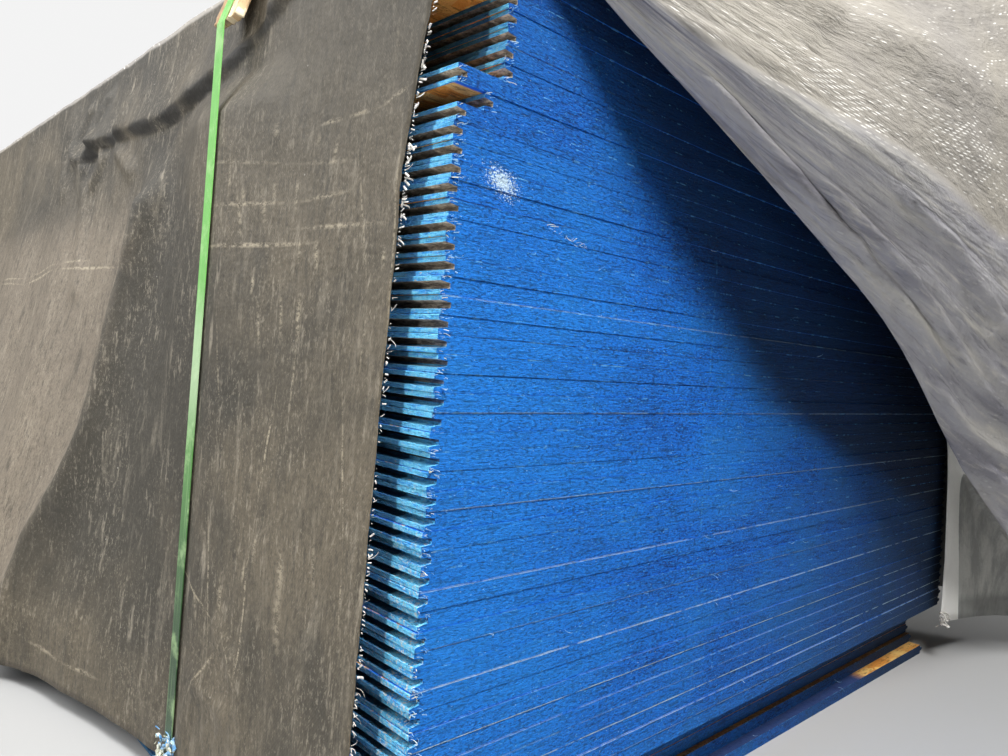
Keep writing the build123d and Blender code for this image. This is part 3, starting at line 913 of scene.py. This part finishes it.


# painted ends: pressed strands seen end on, under the paint, with painted shade, a painted shadow and joint lines
def endColour(f, level, grain, fine, coarse):
    p, c = panel, panelColours
    index = f.call("FLOOR", level)
    each = f.node("ShaderNodeTexWhiteNoise", {"noise_dimensions": "1D"}, {"W": index}, "Value")
    chips = f.span(f.cloud(f.drawn(170, 400), 1, 2, 0.75), 0.64, 0.72)
    white = f.span(f.cells(f.drawn(75, 150)), 0.085, 0.03)
    # painted shade: darker towards the low right corner; and a painted shadow where the sheet keeps the light off
    grime = f.span(f.x - f.z * 0.4 + (coarse - 0.5) * 0.6, -0.45, 0.55)
    bound = f.chart(f.z, p["keptBound"]) * 1.2 - 0.6
    kept = f.span(f.x - bound + (coarse - 0.5) * 0.06, -0.06, 0.10) * (f.y < -1.0)
    # joint lines: some show bare white wood, some a dark gap, the rest hints of both
    joint = f.call("FLOOR", level + 0.5)
    broken = f.span(f.cloud(f.drawn(35, 4), 1, 3, 0.7), 0.34, 0.50)
    line = f.near(f.z - joint * p["pitch"] + 0.0003 + (grain - 0.5) * 0.0012, 0, 0.0010)
    hint = line * f.span(f.cloud(f.pack(f.x * 60, 0, joint * 3.7), 1, 3, 0.75), 0.52, 0.62)
    gap = line * f.span(f.cloud(f.pack(f.x * 9, 0, joint * 5.3), 1, 3, 0.75), 0.44, 0.60)
    # a scuff, and two faint columns of dashes where the cover was marked through
    scuff = f.stroke(*p["scuff"], 0.018, (0, 1, 0))
    scuffed = f.span(scuff * 0.36 + f.cloud(f.place, 520, 3, 0.8), 0.66, 0.78)
    dash = f.span(f.cloud(f.z * 55, 1, 2, 0.5), 0.50, 0.60)
    columns = []
    for place, low, high in p["dashes"]:
        mark = f.near(f.x - place, 0, 0.0022) * f.span(f.z, low, low + 0.01) * f.span(f.z, high, high - 0.01)
        columns.append((mark * dash * 0.45, c["dash"]))
    return f.coats(
        f.blend(f.span(grain, 0.32, 0.54), c["deepPaint"], c["paint"]),
        (f.span(grain, 0.56, 0.80) * 0.4, c["lightPaint"]),
        (f.span(fine, 0.49, 0.37) * 0.85, c["strandShade"]),
        (f.span(fine, 0.52, 0.64) * 0.75, c["lightPaint"]),
        (f.span(coarse, 0.42, 0.66) * 0.35 + each * 0.12, c["lightPaint"]),
        (f.span(coarse, 0.46, 0.28) * 0.3, c["deepPaint"]),
        (chips * 0.6, c["chip"]),
        (white * 0.7, c["fleck"]),
        # painted light: brighter towards the near corner, below the top
        (f.span(f.x, -0.25, -0.60) * f.span(f.z, 0.75, 0.5) * 0.40, c["lightPaint"]),
        # painted shade towards the low right corner, and the painted shadow under the sheet
        (grime * 0.90, c["grime"]),
        (kept * 0.75, c["kept"]),
        # painted shade: darker towards the top
        (f.span(f.z, 0.50, 0.84) * 0.50, c["high"]),
        (gap * 0.15, c["gap"]),
        (hint * 0.7, c["hint"]),
        (line * broken * jointChart(f, joint, p["paleJoints"]), c["jointPale"]),
        (line * broken * jointChart(f, joint, p["darkJoints"]) * 0.8, c["jointDark"]),
        (scuffed * 0.9, c["scuff"]),
        *columns,
    )


def panelFinish():
    f = Finish("strand board")
    p, c = panel, panelColours
    _, ny, nz = f.split(f.node("ShaderNodeNewGeometry", out="Normal"))
    flat = f.call("ABSOLUTE", nz) > 0.75
    end = f.call("ABSOLUTE", ny) > 0.7
    level = (f.z + 0.00005) / p["pitch"]
    local = f.call("FRACT", level) * (p["pitch"] * 1000) - 7.55  # millimetres from the panel's middle
    grain = f.cloud(f.drawn(42, 330), 1, 4, 0.72, 0.4)
    fine = f.cloud(f.drawn(210, 560), 1, 3, 0.8)
    coarse = f.cloud(f.drawn(5, 9), 1, 3, 0.6)
    colour = endColour(f, level, grain, fine, coarse)

    # long edges: thin bright paint on the lips near the corner, bare and dirty between them; farther from the corner a
    # painted shadow darkens both
    low = f.span(f.z, 0.56, 0.42)
    worn = f.cloud(f.place, 300, 3, 0.85)
    flake = f.span(f.cells(f.drawn(60, 190)), 0.12, 0.05)
    inset = f.y + f.span(f.z, 0.5, 0.72) * 0.015
    # painted shadow of the cover's cut edge, farther from the corner
    inner = f.span(inset + (grain - 0.5) * 0.004, -1.1815, -1.1785) * f.span(f.y, 1.176, 1.164)
    lipTone = f.coats(
        f.blend(f.span(grain, 0.34, 0.58), c["lipDeep"], c["lipPaint"]),
        (f.span(fine, 0.56, 0.72) * 0.45, c["lipPale"]),
        (f.span(worn, 0.52, 0.62) * (0.2 + f.span(f.z, 0.42, 0.25) * 0.75), c["lipWorn"]),
        (f.span(worn, 0.44, 0.34) * 0.4, c["lipDark"]),
        (flake * 0.8, c["flake"]),
        (inner * 0.72, c["lipInner"]),
    )
    soiled = f.span(f.cloud(f.drawn(70, 400), 1, 3, 0.75), 0.38, 0.66)
    # painted shade in the low groove cores away from the corner, blue paint near it
    lowTone = f.blend(f.span(f.y, -1.196, -1.208), c["lowInner"], c["lowOuter"])
    dirty = f.coats(
        f.blend(soiled, c["coreDark"], c["corePale"]),
        (inner * 0.6, c["coreInner"]),
        (low * 0.85, lowTone),
    )
    core = f.span(f.call("ABSOLUTE", local - low * 1.5), 3.0 - low * 1.3, 2.4 - low * 1.3)
    edge = f.blend(core, lipTone, dirty)

    # faces: bare strands, two layers of them crossing
    turned = f.stretch(f.place, (16, 70, 70), 0.25)
    crossed = f.stretch(f.place, (60, 14, 60), 0.3)
    first = f.split(f.cells(turned, out="Color"))[0]
    second = f.split(f.cells(crossed, out="Color"))[1]
    which = f.cloud(f.place, 22, 2) > 0.5
    strands = f.span(f.cloud(f.stretch(f.place, (40, 190, 60)), 1, 4, 0.7), 0.50, 0.66)
    # the second panel's top is fibrous and darkened with painted shade, the lowest one's is bare only at its right end
    nearEnd = f.span(f.y, -1.15, -1.18)
    fibrous = f.near(f.z, p["pitch"] + p["thickness"], 0.002) * nearEnd
    lowest = f.near(f.z, p["thickness"], 0.002) * f.span(f.x + (coarse - 0.5) * 0.2, 0.34, 0.28) * nearEnd
    fibres = f.blend(f.span(fine, 0.4, 0.62), c["fibreDark"], c["fibrePale"])
    inGroove = f.span(f.call("ABSOLUTE", local), 4.2, 3.9)
    grooveTone = f.blend(f.span(nz, 0.2, 0.6) * low, dirty, lipTone)
    # paint blown under the panels near their corner, and over their near edge
    spray = f.cloud(f.place, 60, 4, 0.7) + f.span(f.y, -1.195, -1.215) * 0.5 + f.span(f.x, -0.598, -0.603) * 0.4
    spray = f.call("MAXIMUM", f.span(spray, 0.78, 0.9) * f.span(nz, -0.6, 0), f.span(f.y, -1.2125, -1.2160))
    # the wood tones sit above the bare strands' own colour: painted light for the undersides that the lamps hardly
    # reach
    wood = f.coats(
        f.blend(first * which + second * (1 - which), c["woodDark"], c["woodPale"]),
        (strands * 0.6, c["woodGrain"]),
        (fibrous * 0.9, fibres),
        (lowest * 0.97, c["lowest"]),
        (inGroove, grooveTone),
        (spray * (1 - inGroove), c["paint"]),
    )
    height = grain * 1.1 + fine * 1.0 - f.span(fine, 0.44, 0.34) * 0.4
    rough = 0.62 + fine * 0.25
    side, ends, face = [
        f.shader(tone, rough, height, 0.0028, 1.0, specular_ior_level=0.28) for tone in (edge, colour, wood)
    ]
    return f.close(f.layered(flat, f.layered(end, side, ends), face))


# gives a solid its finish, in place of the plain one
def dress(node, finish):
    node.data.materials.clear()
    node.data.materials.append(finish)


boardFinish = panelFinish()
for name, node in nodes.items():
    if name.startswith("panel"):
        dress(node, boardFinish)
report("panels")

# Straps: the solids carry an embossed green finish
strapColours = tones(
    band=(128, 206, 104), worn=(196, 232, 168), low=(42, 76, 44), shine=(222, 240, 206),
)


def strapFinish():
    f = Finish("green strap")
    c = strapColours
    run = f.x + f.z
    waffle = f.call("SINE", (run + f.y) * 2600) * f.call("SINE", (run - f.y) * 2600)
    wear = f.cloud(f.place, 30, 4, 0.65)
    stripes = f.cloud(f.pack(f.x * 8, f.y * 300, f.z * 8))
    colour = f.coats(
        f.blend(f.span(f.z, 0.62, 0.12), c["band"], c["low"]),
        (f.span(wear, 0.5, 0.7) * 0.5, c["worn"]),
        (f.span(stripes, 0.55, 0.7) * 0.3, c["worn"]),
        (f.span(f.z, 0.36, 0.44) * f.span(f.z, 0.56, 0.48) * 0.55, c["shine"]),
    )
    return f.finish(colour, 0.34 + wear * 0.2, waffle, 0.0003, 0.6, coat_weight=0.15)


greenStrap = strapFinish()
for name in ("strap_front", "strap_rear"):
    dress(nodes[name], greenStrap)


# Offcuts under the straps: the solids made rough, with torn strands at their ends
offcut = {
    "voxel": 0.0022,
    "tornFrom": 0.020,           # the ends are torn beyond this distance from the middle
    "tornOver": 0.016,
}
offcutColours = tones(pale=(248, 232, 198), tan=(214, 178, 128), grain=(150, 104, 66), torn=(136, 90, 58))


def offcutFinish():
    f = Finish("offcut")
    c = offcutColours
    across = f.cloud(f.pack(f.x * 60, f.y * 420, f.z * 60), 1, 4, 0.7)
    strand = f.split(f.cells(f.pack(f.x * 50, f.y * 150, f.z * 30), out="Color"))[0]
    torn = f.span(f.y + cover["strap"] + (across - 0.5) * 0.03, 0.008, 0.024)
    colour = f.coats(
        f.blend(strand, c["tan"], c["pale"]),
        (f.span(across, 0.52, 0.72) * 0.6, c["grain"]),
        (torn * 0.6, c["torn"]),
    )
    return f.finish(colour, 0.8, across + strand * 0.4, 0.0012, 0.8)


def makeOffcut(name, finish):
    mesh = nodes[name].data.copy()
    mesh.name = name + "Rough"
    made = placed(name + "_rough", mesh)
    shape = bmesh.new()
    shape.from_mesh(mesh)
    bmesh.ops.remove_doubles(shape, verts=shape.verts, dist=0.00001)
    shape.to_mesh(mesh)
    shape.free()
    remesh = made.modifiers.new("voxels", "REMESH")
    remesh.mode = "VOXEL"
    remesh.voxel_size = offcut["voxel"]
    applied(made)
    low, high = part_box(name)
    centre = (low + high) / 2
    for vertex in made.data.vertices:
        p = vertex.co - centre
        tear = noiseAt(vertex.co.x * 40, vertex.co.y * 230, vertex.co.z * 40)
        fine = noise.noise(vertex.co * 160)
        torn = max(0, (abs(p.y) - offcut["tornFrom"]) / offcut["tornOver"])
        p.y -= math.copysign(1, p.y) * torn * (0.004 + 0.006 * tear)
        rim = max(0, abs(p.z) / ((high.z - low.z) / 2) - 0.75) * 4
        p.z -= math.copysign(1, p.z) * rim * (0.0025 + 0.0045 * noiseAt(0, vertex.co.y * 260, p.z * 8))
        vertex.co = centre + p - vertex.normal * (0.0004 + 0.0005 * fine)
    made.data.materials.clear()
    made.data.materials.append(finish)
    made.data.shade_smooth()
    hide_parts(name)
    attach(made, "root")


roughWood = offcutFinish()
for name in sorted(nodes):
    if name.startswith("board"):
        makeOffcut(name, roughWood)
report("offcuts")

# Threads along the cut edge, frayed strands on the panels' corners, and chips at the strap's foot
tuft = {
    "edge": (0.03, 0.895),       # levels of the threads
    "torn": (0.575, 0.760),
    "tornLow": (0.17, 0.25),
    "hairLayers": (3, 44),
    "tornHair": (-0.4975, 0.6085),
    "chipLevels": (0.022, 0.056),
    "shreds": (0.550, -1.2395, 0.080),
    "seed": 7,
}
sliver = {
    "Length": 0.004, "Length spread": 0.6, "Radius": 0.0002, "Bend": 0.0012, "Share": 0.6,
    "Turn from": (0.6, -0.9, -0.4), "Turn to": (2.4, 0.9, 0.4), "Flatness": 0.35, "Seed": 1, "Material": None,
}


# a bent sliver on every point of the helper mesh that the chance keeps
def sliverTree():
    g = Growth("slivers", sliver)
    size = g.given
    bend = g.node("ShaderNodeCombineXYZ", values={0: size["Bend"], 1: 0, 2: size["Length"] * 0.5})
    tip = g.node("ShaderNodeCombineXYZ", values={0: 0, 1: 0, 2: size["Length"]})
    values = {"Resolution": 4, "Start": (0, 0, 0), "Middle": bend, "End": tip}
    line = g.node("GeometryNodeCurveQuadraticBezier", values=values)
    ring = g.node("GeometryNodeCurvePrimitiveCircle", values={"Resolution": 4, "Radius": size["Radius"]})
    squash = g.node("ShaderNodeCombineXYZ", values={0: 1, 1: size["Flatness"], 2: 1})
    flat = g.node("GeometryNodeTransform", values={"Geometry": ring, "Scale": squash})
    values = {"Curve": line, "Profile Curve": flat, "Fill Caps": True}
    body = g.node("GeometryNodeCurveToMesh", values=values)
    keep = g.spread(size["Share"], None, size["Seed"], "BOOLEAN")
    turn = g.spread(size["Turn from"], size["Turn to"], size["Seed"] + 1)
    grown = g.spread(1 - size["Length spread"], 1 + size["Length spread"], size["Seed"] + 2, "FLOAT")
    values = {"Points": size["Geometry"], "Selection": keep, "Instance": body, "Rotation": turn, "Scale": grown}
    g.close(g.node("GeometryNodeInstanceOnPoints", values=values), size["Material"])
    return g


def plainFinish(name, first, second):
    f = Finish(name)
    pair = tones(first=first, second=second)
    colour = f.blend(f.span(f.cloud(f.place, 140, 3, 0.7), 0.4, 0.62), pair["first"], pair["second"])
    return f.finish(colour, 0.75, f.cloud(f.place, 900, 2), 0.0002, 0.5)


slivers = sliverTree()
threadWhite = plainFinish("white thread", (246, 243, 236), (216, 212, 204))
strandBlue = plainFinish("frayed painted strand", (176, 210, 234), (96, 164, 222))
strandBare = plainFinish("frayed bare strand", (240, 244, 234), (222, 222, 188))
rng = random.Random(tuft["seed"])


# points down the cut edge of the cover, a little outside it
def cutEdge(low, high, spacing):
    line = coverGrids()["leftFront"][0][:, -1]
    level = np.arange(high, low, -spacing)
    order = np.argsort(line[:, 2])
    x = np.interp(level, line[order, 2], line[order, 0])
    y = np.interp(level, line[order, 2], line[order, 1])
    return [(float(a) - 0.0010, float(b) - 0.0002, float(c)) for a, b, c in zip(x, y, level)]


# how far a panel strays from the line of the stack, as in the solids
def stray(index):
    side = 0.0014 * (0.7 * math.sin(2.4 * index) + 0.3 * math.sin(5.3 * index + 1))
    return side, 0.0005 * math.sin(3.7 * index + 0.5)


# the near corner of panel number index: its x, y and underside
def panelCorner(index):
    side, end = stray(index)
    shiftX, shiftY = panel["shifts"].get(index, (0, 0))
    return -panel["halfWidth"] + shiftX + side, -panel["halfLength"] + shiftY + end, (index - 1) * panel["pitch"]


def cornerPoints(count, inland):
    low, high = panel["groove"]
    points = []
    for index in range(1, panel["count"] + 1):
        x, y, z = panelCorner(index)
        for _ in range(count):
            height = rng.choice((rng.uniform(0.0, low), rng.uniform(high, panel["thickness"])))
            points.append((x + rng.random() ** 2 * inland - 0.0002, y - 0.0002, z + height))
    return points


def hairPoints(count):
    points = []
    for _ in range(count):
        index = rng.randint(*tuft["hairLayers"])
        x = -0.60 + rng.random() ** 1.6 * 1.05
        points.append((x, panel["endFace"], (index - rng.choice((0, 1))) * panel["pitch"] + rng.uniform(-0.003, 0.003)))
    return points


def tornPoints(count):
    x, z = tuft["tornHair"]
    steps = [(x + 0.0022 * step, z - 0.0006 * step) for step in range(count)]
    return [(x, panel["endFace"], z + rng.uniform(-0.002, 0.002)) for x, z in steps]


# crushed chips lie where the strap passes under the stack, and at the torn corner of the turned sheet
def footPoints(count):
    points = []
    for _ in range(count):
        y, z = -cover["strap"] + rng.gauss(0, 0.011), rng.uniform(*tuft["chipLevels"])
        points.append((float(leftWall(y, z)) - 0.003 - rng.random() * 0.008, y, z))
    return points


def shredPoints(count):
    x, y, z = tuft["shreds"]
    return [(x + rng.gauss(0, 0.006), y + rng.uniform(-0.002, 0.002), z + rng.gauss(0, 0.006)) for _ in range(count)]


blueFrays, bareFrays = cornerPoints(8, 0.012), cornerPoints(3, 0.006)
hairs, tornHairs, foot, shreds = hairPoints(90), tornPoints(26), footPoints(80), shredPoints(34)
# name, points, finish and slot; length, radius, share, bend, seed and flatness, with the lengths in
# millimetres; then the range of turns, where it isn't the sliver's own
tufts = [
    ("threads_edge", cutEdge(*tuft["edge"], 0.0034), threadWhite, "cover", (3.2, 0.55, 0.7, 0.3, 4, 0.35), ()),
    ("threads_loose", cutEdge(*tuft["edge"], 0.011), threadWhite, "cover", (7.0, 0.22, 0.5, 2.2, 9, 0.35), ()),
    ("threads_torn", cutEdge(*tuft["torn"], 0.0022), threadWhite, "cover", (6.0, 0.8, 0.5, 0.9, 15, 0.15), ()),
    ("threads_torn_low", cutEdge(*tuft["tornLow"], 0.006), threadWhite, "cover", (5, 0.7, 0.45, 2.0, 21, 0.2), ()),
    ("frays_blue", blueFrays, strandBlue, "panel", (3.6, 0.30, 0.75, 0.7, 31, 0.35),
     ((1.2, -1.5, -0.5), (2.0, 0.5, 0.5))),
    ("frays_bare", bareFrays, strandBare, "panel", (4.8, 0.30, 0.7, 1.0, 37, 0.35),
     ((1.0, -1.6, -0.5), (2.2, 0.3, 0.5))),
    ("hairs_end", hairs, strandBlue, "panel", (6.2, 0.22, 0.75, 2.6, 43, 0.35),
     ((1.0, -1.4, -0.8), (2.1, 1.4, 0.8))),
    ("hairs_torn", tornHairs, strandBare, "panel", (6.0, 0.20, 0.8, 3.0, 47, 0.35),
     ((1.0, -1.2, -0.6), (2.1, 1.2, 0.6))),
    ("chips_foot_blue", foot[:40], strandBlue, "panel", (10, 1.9, 0.9, 2, 51, 0.25), ()),
    ("chips_foot_pale", foot[40:], strandBare, "panel", (9, 1.8, 0.9, 2, 53, 0.25), ()),
    ("shreds_corner", shreds, threadWhite, "cover", (10, 2.0, 0.9, 4, 57, 0.15), ()),
]
for name, points, material, part, (length, radius, share, bend, seed, flatness), turns in tufts:
    sizes = {"Length": length / 1000, "Radius": radius / 1000, "Bend": bend / 1000, "Share": share}
    sizes.update(zip(("Turn from", "Turn to"), turns))
    piece = slivers.grow(name, points, {**sizes, "Seed": seed, "Flatness": flatness, "Material": material})
    part == "cover"
report("threads and frays")

# Stage and light
light = {
    "front": {"place": (-1.0, -2.35, 2.5), "aim": (-0.4, -1.2, 0.35), "size": 0.8, "power": 98},
    "over": {"place": (0.3, 0.5, 4.6), "aim": (0.3, 0.4, 0), "size": 3.4, "power": 70},
    "rear": {"place": (-3.4, 1.2, 2.6), "aim": (-0.6, -0.6, 0.5), "size": 3.2, "power": 165},
    "floor": (0.50, 0.50, 0.495),
    "fade": (1.4, 4.5),
    "sky": 0.11,
    "backdrop": 0.9,
}
bpy.ops.mesh.primitive_plane_add(size=60)
floor = bpy.context.object
floor.name = "floor"
# the floor is pale near the object and passes into the white backdrop farther off
ground = Finish("floor")
away = ground.node("ShaderNodeVectorMath", {"operation": "LENGTH"}, {0: ground.place}, "Value")
seen = ground.node("ShaderNodeLightPath", out="Is Camera Ray")
near = ground.node("ShaderNodeBsdfDiffuse", values={"Color": light["floor"]})
far = ground.node("ShaderNodeEmission", values={"Color": (light["backdrop"],) * 3})
floor.data.materials.append(ground.close(ground.layered(ground.span(away, *light["fade"]) * seen, near, far)))
for name in ("front", "over", "rear"):
    lampData = bpy.data.lights.new(name, "AREA")
    lampData.energy = light[name]["power"]
    lampData.size = light[name]["size"]
    aim = Vector(light[name]["aim"]) - Vector(light[name]["place"])
    turn = aim.to_track_quat("-Z", "Y").to_matrix().to_4x4()
    placed(name, lampData).matrix_world = Matrix.Translation(light[name]["place"]) @ turn
world = bpy.data.worlds.new("world")
world.use_nodes = True
world.node_tree.nodes.clear()
sky = Web(world.node_tree)
path = sky.node("ShaderNodeLightPath", out="Is Camera Ray")
values = {"Factor": path, "A": light["sky"], "B": light["backdrop"]}
strength = sky.node("ShaderNodeMix", {"data_type": "FLOAT"}, values, "Result")
backdrop = sky.node("ShaderNodeBackground", values={"Color": (1, 1, 1), "Strength": strength})
sky.node("ShaderNodeOutputWorld", values={"Surface": backdrop})
bpy.context.scene.world = world
report("stage")
